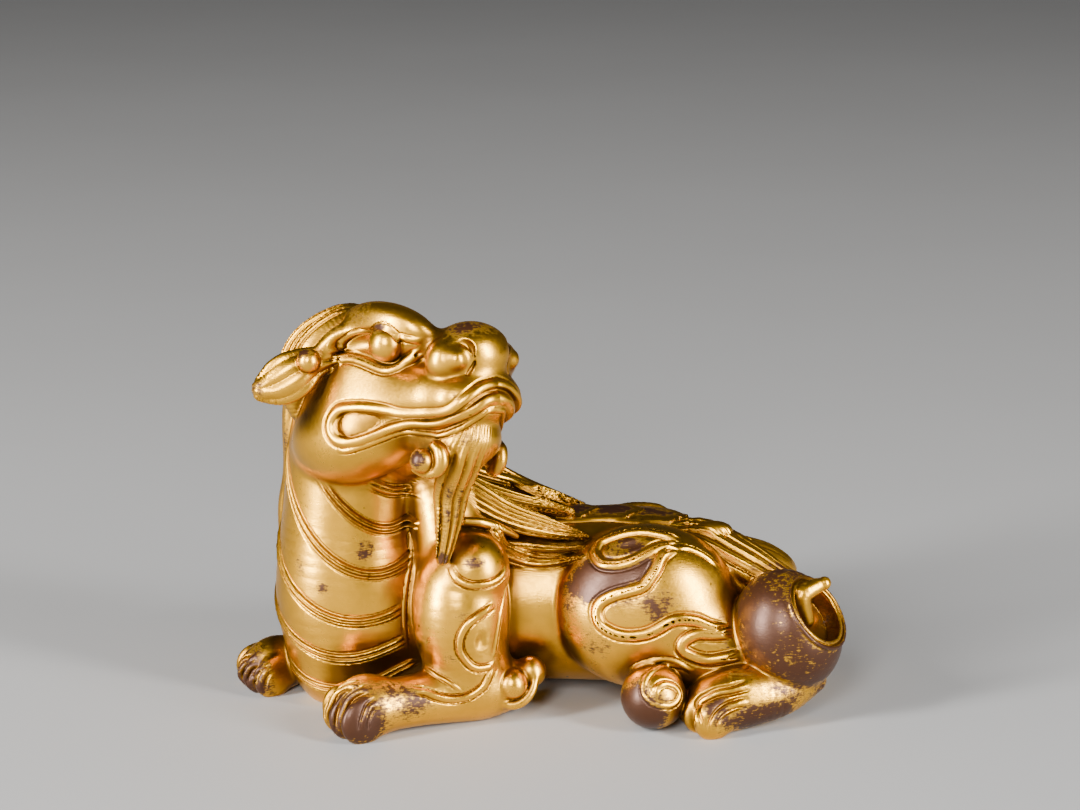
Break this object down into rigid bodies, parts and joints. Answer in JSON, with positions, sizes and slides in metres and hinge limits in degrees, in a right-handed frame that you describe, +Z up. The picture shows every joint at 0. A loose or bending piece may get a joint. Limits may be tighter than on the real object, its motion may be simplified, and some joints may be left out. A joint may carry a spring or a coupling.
{
  "type": "bronze beast paperweight",
  "caption": "Gilt bronze paperweight cast as a recumbent mythical beast, its head turned over its shoulder and its tail coiled on its haunch.",
  "frame": {"origin": "middle of the bounding box in plan, at the flat underside", "axes": "+X from the chest towards the tail, -Y towards the flank that the head is turned to, +Z up"},
  "size_m": [0.0776, 0.0444, 0.0543],
  "materials": {
    "gilt_bronze": "worn gilding, burnished on the high places, rubbed through to brown bronze on the paws, nose, tail coil and haunch"
  },
  "bodies": {
    "root": {"beast_casting": "gilt_bronze"}
  },
  "joints": []
}
